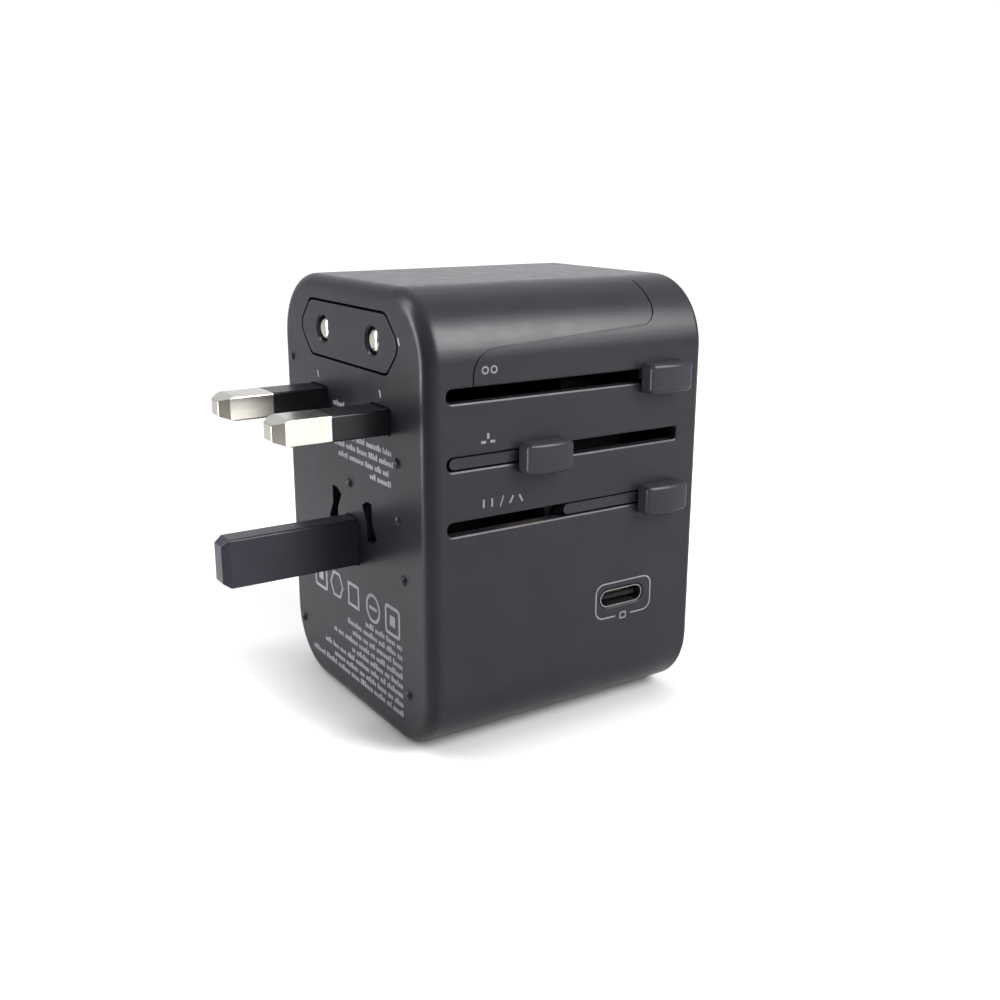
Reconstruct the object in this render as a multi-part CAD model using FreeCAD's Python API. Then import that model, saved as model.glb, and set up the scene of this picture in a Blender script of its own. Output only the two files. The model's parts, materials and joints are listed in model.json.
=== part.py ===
import FreeCAD, Part
import math
import os

# Universal travel adapter, in millimetres.
# +X runs from the plug face to the socket face, -Y is the face with the sliders, and +Z is up.
# The origin is the centre of the flat face that the adapter rests on.
# A "depth" is a distance from the plug face into the casing.
# At rest the three-pin plug is out, and the round-pin and flat-blade plugs are in.

# Casing
BODY_DEPTH = 51.6
BODY_WIDTH = 51.6
BODY_HEIGHT = 72.5
CORNER_RADIUS = 11.2
WALL = 2.0
PLUG_EDGE_RADIUS = 2.3
SOCKET_EDGE_RADIUS = 1.0
FACE_BUMPS = ((22.0, 57.9), (-16.4, 46.4), (0.5, 39.7), (-16.35, 37.4),
              (-17.75, 28.1), (21.9, 9.2), (-18.7, 9.35))
PLUG_X = -BODY_DEPTH / 2
SLIDER_Y = -BODY_WIDTH / 2
INNER_Y = BODY_WIDTH / 2 - WALL
ROOF_Z = BODY_HEIGHT - WALL

# Slots in the slider face, and what runs in them
SLOT_START = 3.1
SLOT_END = 46.9
SLOT_WIDTH = 2.25
SLOT_LIP_WIDTH = 0.25
SLOT_LIP_DEPTH = 0.12
EU_SLOT_Z = 57.55
UK_SLOT_Z = 47.5
US_SLOT_Z = 37.6
RIB_WIDTH = 1.65
RIB_SINK = 0.28
ARM_INNER_Y = SLIDER_Y + WALL + 2.35
ARM_GAP = 0.3
ARM_HALF_HEIGHT = 1.7
LUG_OVERLAP = 1.0
KNOB_LENGTH = 8.65
KNOB_HEIGHT = 4.9
KNOB_THICKNESS = 2.9
KNOB_CROWN = 0.6
KNOB_DROP = 0.38
KNOB_GAP = 0.12
KNOB_STEM_LENGTH = 6.0
KNOB_FILLET = 0.72
UK_KNOB_START = 15.65
EU_KNOB_START = 39.1
US_KNOB_START = 39.2

# Plug carriers
CARRIER_FRONT = 2.3
CARRIER_THICKNESS = 2.6
UK_TRAVEL = 23.2
US_TRAVEL = 20.7
EU_NECK_TRAVEL = 16.4
EU_PIN_TRAVEL = 19.0
RIB_LEAD = 1.42
FIT = 0.06
SLACK = 0.3

# Three-pin plug
UK_PIN_Y = 11.115
UK_LIVE_Z = 52.3
UK_PIN_WIDTH = 6.35
UK_PIN_HEIGHT = 4.0
UK_PIN_LENGTH = 18.2
UK_SIDE_BEVEL = 1.45
UK_TOP_BEVEL = 2.4
UK_TIP_HALF_WIDTH = 1.5
UK_TIP_HALF_HEIGHT = 1.25
UK_TIP_FILLET = 0.3
UK_SLEEVE_LENGTH = 9.5
UK_SLEEVE_WALL = 0.5
UK_EARTH_PITCH = 22.23
UK_EARTH_WIDTH = 4.0
UK_EARTH_HEIGHT = 8.0
UK_EARTH_LENGTH = 23.0
UK_CAP_THICKNESS = 1.0
UK_BAR_HALF = 15.0

# Flat-blade plug
BLADE_Y = 6.35
BLADE_Z = 34.5
BLADE_THICKNESS = 1.5
BLADE_WIDTH = 6.3
BLADE_LENGTH = 17.0
BLADE_TURN = 30.0
HUB_RADIUS = 2.8
HUB_FLANGE_RADIUS = 3.15
US_CAP_THICKNESS = 1.6
US_LEG_INNER = 2.75
US_LEG_OUTER = 10.2
US_BOTTOM_Z = 20.3
US_CROSSBAR_TOP_Z = 25.4
US_LEG_TOP_Z = 38.5

# Round-pin plug
EU_Z = 63.94
EU_PIN_Y = 8.87
EU_PIN_RADIUS = 2.0
EU_BORE_RADIUS = 2.15
EU_MOUTH = 0.3
EU_PIN_RECESS = 0.15
EU_PIN_DOME = 1.2
NECK_HALF_WIDTH = 17.7
NECK_FLAT_HALF = 13.4
NECK_HALF_HEIGHT = 4.4
NECK_LENGTH = 20.0
NECK_GAP = 0.42
NECK_CORNER_RADIUS = 2.2
EU_PLATE_DEPTH = 39.4
EU_PLATE_THICKNESS = 3.0

# Universal socket
SOCKET_Z = 50.0
COVER_DEPTH = 49.1
COVER_THICKNESS = 2.2
COVER_GAP = 0.1
US_EARTH_PITCH = 11.9
APERTURE_STEP = 0.35
SHUTTER_BACK = 43.6
SHUTTER_FRONT = 48.9
SHUTTER_BOTTOM_Z = 46.1
SHUTTER_TOP_Z = 53.9
SHUTTER_INNER = 4.4
SHUTTER_OUTER = 15.4
SPRING_DEPTH = 46.3
SPRING_Y = 10.0
SPRING_SEAT_Z = 24.0
SPRING_RADIUS = 1.6
SPRING_WIRE = 0.22
SPRING_TURNS = 9
BLOCK_BACK = 31.0
BLOCK_FRONT = 42.5
BLOCK_HALF_WIDTH = 16.5
BLOCK_FLOOR = 0.9
CONTACT_SHEET = 0.4

# Inner frame
BULKHEAD_DEPTH = 29.7
BULKHEAD_THICKNESS = 1.3
SHELF_Z = 57.0
SHELF_THICKNESS = 1.3
RAIL = 1.3
BUSBAR_Y = 15.7
BUSBAR_LOW_Z = 40.5
BUSBAR_HIGH_Z = 44.5

# Charger
PCB_LOW_Z = 17.7
PCB_THICKNESS = 1.6
PCB_HALF_WIDTH = 22.0
PCB_START = 4.0
PCB_END = 46.0
POST_Y = 18.5
POST_DEPTHS = (6.2, 43.8)
USB_DEPTH = 36.5
USB_Z = 20.9
USB_WIDTH = 8.34
USB_HEIGHT = 2.56
USB_SHELL = 0.2
USB_LENGTH = 7.3
TRANSFORMER_DEPTH = 14.0
FUSE_Y = 16.5
FUSE_Z = 22.3
FUSE_START = 7.7
FUSE_LENGTH = 20.0
FUSE_RADIUS = 2.5
FUSE_CAP_LENGTH = 5.0


def vec(x, y, z):
    return FreeCAD.Vector(x, y, z)


def at(depth):
    """The X of a place at this depth behind the plug face."""
    return PLUG_X + depth


def box(x0, x1, y0, y1, z0, z1):
    return Part.makeBox(x1 - x0, y1 - y0, z1 - z0, vec(x0, y0, z0))


def side_box(side, x0, x1, near, far, z0, z1):
    """A box that spans near to far from the middle plane, on the +Y side for 1 and the -Y side for -1."""
    low, high = sorted((side * near, side * far))
    return box(x0, x1, low, high, z0, z1)


def rod_x(x0, x1, y, z, radius):
    return Part.makeCylinder(radius, x1 - x0, vec(x0, y, z), vec(1, 0, 0))


def rod_z(x, y, z0, z1, radius):
    return Part.makeCylinder(radius, z1 - z0, vec(x, y, z0), vec(0, 0, 1))


def join(first, *others):
    return first.multiFuse(list(others)).removeSplitter()


def corner_arc(before, corner, after, radius):
    """Start, middle and end of the arc that rounds one corner."""
    back = (before - corner).normalize()
    ahead = (after - corner).normalize()
    half_angle = back.getAngle(ahead) / 2
    reach = radius / math.tan(half_angle)
    inward = (back + ahead).normalize()
    middle = corner + inward * (radius / math.sin(half_angle) - radius)
    return corner + back * reach, middle, corner + ahead * reach


def rounded_path(points, radii, closed):
    """Straight runs joined by tangent arcs, one radius for each corner."""
    corners = range(len(points)) if closed else range(1, len(points) - 1)
    stops = []
    if not closed:
        stops.append((points[0],))
    for index in corners:
        following = points[(index + 1) % len(points)]
        stops.append(corner_arc(points[index - 1], points[index], following, radii[index % len(radii)]))
    if not closed:
        stops.append((points[-1],))
    edges = []
    for index, stop in enumerate(stops):
        if len(stop) == 3:
            edges.append(Part.Arc(*stop).toShape())
        last = index == len(stops) - 1
        if last and not closed:
            break
        start = stops[(index + 1) % len(stops)][0]
        if (start - stop[-1]).Length > 1e-6:
            edges.append(Part.LineSegment(stop[-1], start).toShape())
    return Part.Wire(edges)


def outline_x(x, y0, y1, z0, z1, radius):
    points = [vec(x, y0, z0), vec(x, y1, z0), vec(x, y1, z1), vec(x, y0, z1)]
    return rounded_path(points, [radius], closed=True)


def outline_y(y, x0, x1, z0, z1, radii):
    points = [vec(x0, y, z0), vec(x1, y, z0), vec(x1, y, z1), vec(x0, y, z1)]
    return rounded_path(points, radii, closed=True)


def bar_x(x0, x1, y0, y1, z0, z1, radius):
    """A bar along X whose long edges are rounded."""
    return Part.Face(outline_x(x0, y0, y1, z0, z1, radius)).extrude(vec(x1 - x0, 0, 0))


def bar_y(y0, y1, x0, x1, z0, z1, radii):
    """A bar along Y whose long edges are rounded, one radius or four."""
    return Part.Face(outline_y(y0, x0, x1, z0, z1, radii)).extrude(vec(0, y1 - y0, 0))


def body_prism(inset, x0, x1):
    """The casing's rounded section, drawn in by an inset, along X."""
    half = BODY_WIDTH / 2 - inset
    return bar_x(x0, x1, -half, half, inset, BODY_HEIGHT - inset, CORNER_RADIUS - inset)


def edges_at_x(shape, x):
    return [edge for edge in shape.Edges if all(abs(end.X - x) < 1e-6 for end in edge.Vertexes)]


def neck_prism(x0, x1, grow):
    """The long six-sided block of the round-pin plug, grown all round by a gap."""
    half_width = NECK_HALF_WIDTH + grow
    half_flat = NECK_FLAT_HALF + grow / 2
    half_height = NECK_HALF_HEIGHT + grow
    points = [vec(x0, -half_width, EU_Z), vec(x0, -half_flat, EU_Z - half_height),
              vec(x0, half_flat, EU_Z - half_height), vec(x0, half_width, EU_Z),
              vec(x0, half_flat, EU_Z + half_height), vec(x0, -half_flat, EU_Z + half_height)]
    return Part.Face(rounded_path(points, [NECK_CORNER_RADIUS], closed=True)).extrude(vec(x1 - x0, 0, 0))


def blade_window(side):
    """The bow-tie opening in which a flat blade can stand upright or turn its lower end outwards."""
    x0 = PLUG_X - 1
    x1 = PLUG_X + WALL + 1
    half_gap = BLADE_THICKNESS / 2 + 0.2
    half_height = BLADE_WIDTH / 2 + 0.2
    y = side * BLADE_Y
    upright = box(x0, x1, y - half_gap, y + half_gap, BLADE_Z - half_height, BLADE_Z + half_height)
    turned = upright.copy()
    turned.rotate(vec(x0, y, BLADE_Z), vec(1, 0, 0), side * BLADE_TURN)
    reach = 2 * half_height
    lean = math.radians(BLADE_TURN)
    step = vec(0, -side * reach * math.sin(lean), reach * math.cos(lean))
    centre = vec(x0, y, BLADE_Z)
    window = upright.fuse(turned)
    for sign in (1, -1):
        sweep = [centre, centre + vec(0, 0, sign * reach), centre + step * sign, centre]
        wedge = Part.Face(Part.makePolygon(sweep)).extrude(vec(x1 - x0, 0, 0))
        window = window.fuse(wedge.common(rod_x(x0, x1, y, BLADE_Z, half_height)))
    return window.removeSplitter()


def slider_slot(z):
    """A slot through the slider face with a fine bevelled lip."""
    half = SLOT_WIDTH / 2
    radii = [1.0, 0.55, 0.55, 1.0]
    slot = bar_y(SLIDER_Y - 1, SLIDER_Y + WALL + 1, at(SLOT_START), at(SLOT_END), z - half, z + half, radii)
    lips = []
    for y, grow in ((SLIDER_Y - SLOT_LIP_DEPTH, 2 * SLOT_LIP_WIDTH), (SLIDER_Y + SLOT_LIP_DEPTH, 0.0)):
        lips.append(outline_y(y, at(SLOT_START) - grow, at(SLOT_END) + grow, z - half - grow,
                              z + half + grow, [radius + grow for radius in radii]))
    return slot.fuse(Part.makeLoft(lips, True))


def usb_hole():
    """The rounded opening in the slider face round the charging port."""
    half_width = USB_WIDTH / 2 + USB_SHELL + 0.12
    half_height = USB_HEIGHT / 2 + USB_SHELL + 0.12
    x = at(USB_DEPTH)
    hole = bar_y(SLIDER_Y - 1, SLIDER_Y + WALL + 1, x - half_width, x + half_width,
                 USB_Z - half_height, USB_Z + half_height, [half_height - 0.01])
    lips = []
    for y, grow in ((SLIDER_Y - 0.2, 0.4), (SLIDER_Y + 0.2, 0.0)):
        lips.append(outline_y(y, x - half_width - grow, x + half_width + grow, USB_Z - half_height - grow,
                              USB_Z + half_height + grow, [half_height + grow - 0.01]))
    return hole.fuse(Part.makeLoft(lips, True))


def parting_groove():
    """A hairline groove from the top slot that steps up and over the corner of the casing."""
    rise = 63.76
    points = [vec(at(7.7), SLIDER_Y, EU_SLOT_Z + 0.8), vec(at(7.7), SLIDER_Y, rise),
              vec(at(42.7), SLIDER_Y, rise + 1.88), vec(at(42.7), SLIDER_Y, BODY_HEIGHT - 0.6)]
    path = rounded_path(points, [0, 3.8, 3.4], closed=False)
    half = 0.13
    start = points[0]
    section = Part.makePolygon([start + vec(-half, -1, 0), start + vec(half, -1, 0),
                                start + vec(half, 13, 0), start + vec(-half, 13, 0),
                                start + vec(-half, -1, 0)])
    band = path.makePipeShell([section], True, False)
    return band.cut(body_prism(0.2, PLUG_X - 1, PLUG_X + BODY_DEPTH + 1))


def face_bump(y, z):
    """A low round stand-off on the plug face."""
    radius = 0.95
    height = 0.55
    ball = Part.makeSphere(radius, vec(PLUG_X + radius - height, y, z))
    return ball.common(box(PLUG_X - 1, PLUG_X + 0.3, y - 2, y + 2, z - 2, z + 2))


def main_housing():
    """The one-piece casing: plug face and four walls, open at the socket end."""
    end_x = PLUG_X + BODY_DEPTH
    shell = body_prism(0, PLUG_X, end_x)
    shell = shell.makeFillet(PLUG_EDGE_RADIUS, edges_at_x(shell, PLUG_X))
    shell = shell.makeFillet(SOCKET_EDGE_RADIUS, edges_at_x(shell, end_x))
    shell = shell.cut(body_prism(WALL, at(WALL), end_x + 1))
    holes = [neck_prism(PLUG_X - 1, at(WALL) + 1, NECK_GAP), usb_hole(), parting_groove()]
    holes += [slider_slot(z) for z in (EU_SLOT_Z, UK_SLOT_Z, US_SLOT_Z)]
    holes += [blade_window(side) for side in (1, -1)]
    gap = 0.2
    for side in (1, -1):
        y = side * UK_PIN_Y
        holes.append(bar_x(PLUG_X - 1, at(WALL) + 1, y - UK_PIN_WIDTH / 2 - gap, y + UK_PIN_WIDTH / 2 + gap,
                           UK_LIVE_Z - UK_PIN_HEIGHT / 2 - gap, UK_LIVE_Z + UK_PIN_HEIGHT / 2 + gap, 0.5))
    earth_z = UK_LIVE_Z - UK_EARTH_PITCH
    holes.append(bar_x(PLUG_X - 1, at(WALL) + 1, -UK_EARTH_WIDTH / 2 - gap, UK_EARTH_WIDTH / 2 + gap,
                       earth_z - UK_EARTH_HEIGHT / 2 - gap, earth_z + UK_EARTH_HEIGHT / 2 + gap, 0.5))
    for hole in holes:
        shell = shell.cut(hole)
    extras = [face_bump(y, z) for y, z in FACE_BUMPS]
    for depth in POST_DEPTHS:
        for side in (1, -1):
            post = rod_z(at(depth), side * POST_Y, 2.4, PCB_LOW_Z, 1.6)
            extras.append(post.cut(rod_z(at(depth), side * POST_Y, 10.0, PCB_LOW_Z + 1, 0.8)))
    tab_back = at(COVER_DEPTH - 1.1)
    tab_front = at(COVER_DEPTH)
    for side in (1, -1):
        extras.append(side_box(side, tab_back, tab_front, 6, 10, ROOF_Z - 1.0, ROOF_Z + 0.5))
        extras.append(side_box(side, tab_back, tab_front, 6, 10, WALL - 0.5, WALL + 1.0))
    for z in (12, 60):
        extras.append(box(tab_back, tab_front, INNER_Y - 1.0, INNER_Y + 0.5, z - 2, z + 2))
    return join(shell, *extras)


def pin_aperture(side, x0, x1, grow):
    """One live opening of the socket: wide pin, round pin, upright blade and turned blade together."""
    half_w = 3.45 + grow
    half_h = 2.3 + grow
    wide = bar_x(x0, x1, side * UK_PIN_Y - half_w, side * UK_PIN_Y + half_w, SOCKET_Z - half_h,
                 SOCKET_Z + half_h, 0.4)
    round_hole = rod_x(x0, x1, side * 9.5, SOCKET_Z, 2.6 + grow)
    half_w = 1.1 + grow
    half_h = 3.6 + grow
    slot = box(x0, x1, side * BLADE_Y - half_w, side * BLADE_Y + half_w, SOCKET_Z - half_h, SOCKET_Z + half_h)
    turned = slot.copy()
    turned.rotate(vec(x0, side * BLADE_Y, SOCKET_Z), vec(1, 0, 0), side * BLADE_TURN)
    turned.translate(vec(0, side * 0.5, 0))
    return wide.multiFuse([round_hole, slot, turned]).removeSplitter()


def earth_apertures(x0, x1, grow):
    """The two middle openings: a tall one for a three-pin plug, a round-and-slot one nearer the centre."""
    tall_z = SOCKET_Z - UK_EARTH_PITCH
    tall = bar_x(x0, x1, -2.4 - grow, 2.4 + grow, tall_z - 4.4 - grow, tall_z + 4.4 + grow, 0.4)
    near_z = SOCKET_Z - US_EARTH_PITCH
    slot = box(x0, x1, -1.1 - grow, 1.1 + grow, near_z - 4.0 - grow, near_z + 4.0 + grow)
    near = rod_x(x0, x1, 0, near_z, 2.75 + grow).fuse(slot)
    return tall, near.removeSplitter()


def socket_cover():
    """The plate that closes the socket end, with its apertures, shutter guides and spring seats."""
    back = at(COVER_DEPTH)
    front = at(COVER_DEPTH + COVER_THICKNESS)
    plate = body_prism(WALL + COVER_GAP, back, front)
    plate = plate.makeFillet(0.35, edges_at_x(plate, front))
    for start, grow in ((back - 1, 0.0), (front - APERTURE_STEP, APERTURE_STEP)):
        for side in (1, -1):
            plate = plate.cut(pin_aperture(side, start, front + 1, grow))
        for hole in earth_apertures(start, front + 1, grow):
            plate = plate.cut(hole)
    ribs = []
    guide_start = at(SHUTTER_BACK)
    for side in (1, -1):
        ribs.append(side_box(side, guide_start, back + 0.1,
                             SHUTTER_OUTER + 0.2, SHUTTER_OUTER + 1.4, 30, 55.5))
        ribs.append(side_box(side, at(SHUTTER_BACK + 0.5), back + 0.1, SPRING_Y - 2, SPRING_Y + 2,
                             SPRING_SEAT_Z - 1.2, SPRING_SEAT_Z))
    return join(plate, *ribs)


def socket_shutter():
    """The sprung safety shutter: two ramped wings and the bar that links them."""
    profile = [(SHUTTER_BACK, SHUTTER_BOTTOM_Z), (SHUTTER_FRONT, SHUTTER_BOTTOM_Z),
               (SHUTTER_FRONT, SHUTTER_BOTTOM_Z + 1.0), (SHUTTER_BACK + 1.4, SHUTTER_TOP_Z),
               (SHUTTER_BACK, SHUTTER_TOP_Z), (SHUTTER_BACK, SHUTTER_BOTTOM_Z)]
    wings = []
    for side in (1, -1):
        low = min(side * SHUTTER_INNER, side * SHUTTER_OUTER)
        wire = Part.makePolygon([vec(at(depth), low, z) for depth, z in profile])
        wings.append(Part.Face(wire).extrude(vec(0, SHUTTER_OUTER - SHUTTER_INNER, 0)))
    link = box(at(SHUTTER_BACK), at(SHUTTER_BACK + 1.4), -SHUTTER_INNER, SHUTTER_INNER, 50.4, SHUTTER_TOP_Z)
    return join(link, *wings)


def coil_spring(x, y, z0, z1):
    """A compression spring of round wire standing along Z."""
    wire_centre_low = z0 + SPRING_WIRE
    height = z1 - z0 - 2 * SPRING_WIRE
    helix = Part.makeHelix(height / SPRING_TURNS, height, SPRING_RADIUS)
    ring = Part.Wire(Part.makeCircle(SPRING_WIRE, vec(SPRING_RADIUS, 0, 0), vec(0, 1, 0)))
    spring = Part.Wire(helix.Edges).makePipeShell([ring], True, True)
    spring.translate(vec(x, y, wire_centre_low))
    return spring


def contact_block():
    """The moulded block behind the shutter that holds the socket contacts."""
    back = at(BLOCK_BACK)
    front = at(BLOCK_FRONT)
    block = bar_x(back, front, -BLOCK_HALF_WIDTH, BLOCK_HALF_WIDTH, 21.6, 56.6, 1.0)
    floor = at(BLOCK_BACK + BLOCK_FLOOR)
    cuts = [box(floor, front + 1, -2.7, 2.7, 22.9, 32.6), box(floor, front + 1, -3.0, 3.0, 33.7, 42.5)]
    for side in (1, -1):
        cuts.append(side_box(side, floor, front + 1, 4.6, 15.1, 45.2, 54.8))
        cuts.append(side_box(side, floor, floor + 1.2, 14.6, 16.0, BUSBAR_HIGH_Z, 54.8))
        cuts.append(side_box(side, back - 1, back + 2.4, BUSBAR_Y - 0.35, BUSBAR_Y + 0.35,
                             BUSBAR_LOW_Z - 0.1, BUSBAR_HIGH_Z + 0.05))
    for cut in cuts:
        block = block.cut(cut)
    for screw in block_screw_places():
        block = block.cut(rod_x(back - 1, front + 1, *screw, 0.9))
        block = block.cut(rod_x(at(41.2), front + 1, *screw, 1.75))
    return block


def block_screw_places():
    return [(side * 10.5, z) for side in (1, -1) for z in (27.0, 39.0)]


def screw_x(x_head, x_tip, y, z, radius, head_radius, head_height):
    """A pan-head screw along X whose head faces the socket, with a cross recess."""
    shank = rod_x(x_tip, x_head - head_height, y, z, radius)
    head = rod_x(x_head - head_height, x_head, y, z, head_radius)
    head = head.makeFillet(head_height * 0.35, edges_at_x(head, x_head))
    cross = [box(x_head - 0.5, x_head + 1, y - half_w, y + half_w, z - half_h, z + half_h)
             for half_w, half_h in ((0.9, 0.18), (0.18, 0.9))]
    return join(shank, head).cut(cross[0]).cut(cross[1])


def screw_z(x, y, z_head, z_tip, radius, head_radius, head_height):
    screw = screw_x(0, z_tip - z_head, 0, 0, radius, head_radius, head_height)
    screw.rotate(vec(0, 0, 0), vec(0, 1, 0), -90)
    screw.translate(vec(x, y, z_head))
    return screw


def socket_contact(side):
    """The folded brass contact behind one live aperture, with a tail down to its busbar."""
    back = at(BLOCK_BACK + BLOCK_FLOOR) + 0.05
    inside = back + CONTACT_SHEET
    mouth = at(BLOCK_FRONT - 0.6)
    pieces = [side_box(side, back, inside, 4.95, 14.8, SOCKET_Z - 2.75, SOCKET_Z + 2.75)]
    for sign in (1, -1):
        near, far = sorted((SOCKET_Z + sign * 2.35, SOCKET_Z + sign * 2.75))
        pieces.append(side_box(side, back, mouth, 7.6, 14.8, near, far))
    pieces.append(side_box(side, back, mouth - 1, 4.95, 5.35, SOCKET_Z - 2.75, SOCKET_Z + 2.75))
    pieces.append(side_box(side, back, inside, 14.7, 15.9, BUSBAR_HIGH_Z + 0.05, SOCKET_Z + 2.75))
    return join(*pieces)


def busbar(side):
    """The brass strip that joins the plug contacts to the socket contact on one side."""
    return side_box(side, at(3.4), at(BLOCK_BACK + 2.3), BUSBAR_Y - 0.25, BUSBAR_Y + 0.25,
                    BUSBAR_LOW_Z, BUSBAR_HIGH_Z)


def slider_frame():
    """The inner frame: a bulkhead in front of the socket, a shelf under the round-pin plug, side rails."""
    back = at(BULKHEAD_DEPTH)
    front = at(BULKHEAD_DEPTH + BULKHEAD_THICKNESS)
    start = at(CARRIER_FRONT)
    bulkhead = box(back, front, -BLOCK_HALF_WIDTH - 0.5, INNER_Y - 0.2, US_BOTTOM_Z, SHELF_Z)
    shelf = box(start, at(47.0), -13.6, INNER_Y - 0.2, SHELF_Z, SHELF_Z + SHELF_THICKNESS)
    uk_rail = box(start, back, UK_BAR_HALF + SLACK, UK_BAR_HALF + SLACK + RAIL, 48.6, SHELF_Z)
    us_rails = [side_box(side, start, back, US_LEG_OUTER + SLACK, US_LEG_OUTER + SLACK + RAIL,
                         US_BOTTOM_Z, 35.4)
                for side in (1, -1)]
    frame = join(bulkhead, shelf, uk_rail, *us_rails)
    for side in (1, -1):
        frame = frame.cut(side_box(side, back - 1, front + 1, BUSBAR_Y - 0.35, BUSBAR_Y + 0.35,
                                   BUSBAR_LOW_Z - 0.1, BUSBAR_HIGH_Z + 0.1))
        frame = frame.cut(side_box(side, at(21.9), at(24.1), EU_PIN_Y - 1.3, EU_PIN_Y + 1.3,
                                   SHELF_Z - 1, SHELF_Z + SHELF_THICKNESS + 1))
    for screw in block_screw_places():
        frame = frame.cut(rod_x(back - 1, front + 1, *screw, 0.8))
    return frame


def slider_arm(start, end, z):
    """The arm behind the slider face with the rib that fills its slot."""
    arm = box(at(start + RIB_LEAD), at(end), SLIDER_Y + WALL + ARM_GAP, ARM_INNER_Y,
              z - ARM_HALF_HEIGHT, z + ARM_HALF_HEIGHT)
    rib = bar_y(SLIDER_Y + RIB_SINK, SLIDER_Y + WALL + ARM_GAP + 0.1, at(start + RIB_LEAD), at(end - 0.6),
                z - RIB_WIDTH / 2, z + RIB_WIDTH / 2, [0.8])
    return arm.fuse(rib)


def knob_stem(knob_start, z, grow):
    """The tongue that joins a knob to its arm through the slot."""
    middle = at(knob_start + KNOB_LENGTH / 2)
    half = KNOB_STEM_LENGTH / 2
    return box(middle - half, middle + half, SLIDER_Y - KNOB_GAP - 0.1 - grow, ARM_INNER_Y - 0.6,
               z - RIB_WIDTH / 2, z + RIB_WIDTH / 2)


def knob(knob_start, z):
    """A thumb button: a rounded block whose face is crowned from end to end, on a flat tongue."""
    x0 = at(knob_start)
    x1 = x0 + KNOB_LENGTH
    back = SLIDER_Y - KNOB_GAP
    front = back - KNOB_THICKNESS
    low = z - KNOB_DROP - KNOB_HEIGHT / 2
    high = low + KNOB_HEIGHT
    block = bar_y(front - 1, back, x0, x1, low, high, [0.9])
    crown_radius = (KNOB_LENGTH / 2) ** 2 / (2 * KNOB_CROWN) + KNOB_CROWN / 2
    crown = Part.makeCylinder(crown_radius, 2 * KNOB_HEIGHT,
                              vec((x0 + x1) / 2, front + crown_radius, z - KNOB_HEIGHT))
    block = block.common(crown)
    face_edges = [edge for edge in block.Edges if edge.BoundBox.YMax < front + KNOB_CROWN + 0.05]
    block = block.makeFillet(KNOB_FILLET, face_edges)
    return join(block, knob_stem(knob_start, z, 0.0))


def detent_leaf(start, length, z):
    """The spring-steel leaf that clicks its slider into place at each end."""
    sheet = 0.25
    profile = [(0.0, 0.0), (0.25, 0.0), (0.45, 0.6), (0.55, 0.6), (0.75, 0.0), (1.0, 0.0)]
    outer = [vec(at(start + run * length), ARM_INNER_Y + rise + sheet, z - 1.2) for run, rise in profile]
    inner = [vec(at(start + run * length), ARM_INNER_Y + rise, z - 1.2) for run, rise in reversed(profile)]
    wire = Part.makePolygon(outer + inner + outer[:1])
    return Part.Face(wire).extrude(vec(0, 0, 2.4))


def uk_carrier():
    """The T-shaped carrier of the three-pin plug, with its slider arm."""
    x0 = at(CARRIER_FRONT)
    x1 = at(CARRIER_FRONT + CARRIER_THICKNESS)
    bar = box(x0, x1, -UK_BAR_HALF, UK_BAR_HALF, UK_LIVE_Z - 3.0, UK_LIVE_Z + 3.0)
    stem = box(x0, x1, -2.3, 2.3, UK_LIVE_Z - UK_EARTH_PITCH - 4.3, UK_LIVE_Z - 2.0)
    lug = box(x0, x1, ARM_INNER_Y - LUG_OVERLAP, -UK_BAR_HALF + 1,
              UK_SLOT_Z - ARM_HALF_HEIGHT, UK_LIVE_Z + 3.0)
    arm = slider_arm(CARRIER_FRONT, UK_KNOB_START + KNOB_LENGTH - 0.7, UK_SLOT_Z)
    carrier = join(bar, stem, lug, arm)
    for side in (1, -1):
        carrier = carrier.cut(uk_pin_root(side, 0.0))
    carrier = carrier.cut(uk_earth_tenon())
    return carrier.cut(knob_stem(UK_KNOB_START, UK_SLOT_Z, 1.0))


def uk_pin_root(side, grow):
    """The part of a live pin that passes through its carrier, with a wider foot behind."""
    y = side * UK_PIN_Y
    half_w = UK_PIN_WIDTH / 2 - UK_SLEEVE_WALL
    half_h = UK_PIN_HEIGHT / 2 - UK_SLEEVE_WALL
    x0 = at(CARRIER_FRONT) - grow
    foot = at(CARRIER_FRONT + CARRIER_THICKNESS - 0.9)
    x1 = at(CARRIER_FRONT + CARRIER_THICKNESS)
    shank = bar_x(x0, x1, y - half_w, y + half_w, UK_LIVE_Z - half_h, UK_LIVE_Z + half_h, 0.3)
    head = bar_x(foot, x1, y - half_w - 0.5, y + half_w + 0.5, UK_LIVE_Z - half_h - 0.5,
                 UK_LIVE_Z + half_h + 0.5, 0.3)
    return shank.fuse(head).removeSplitter()


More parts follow.
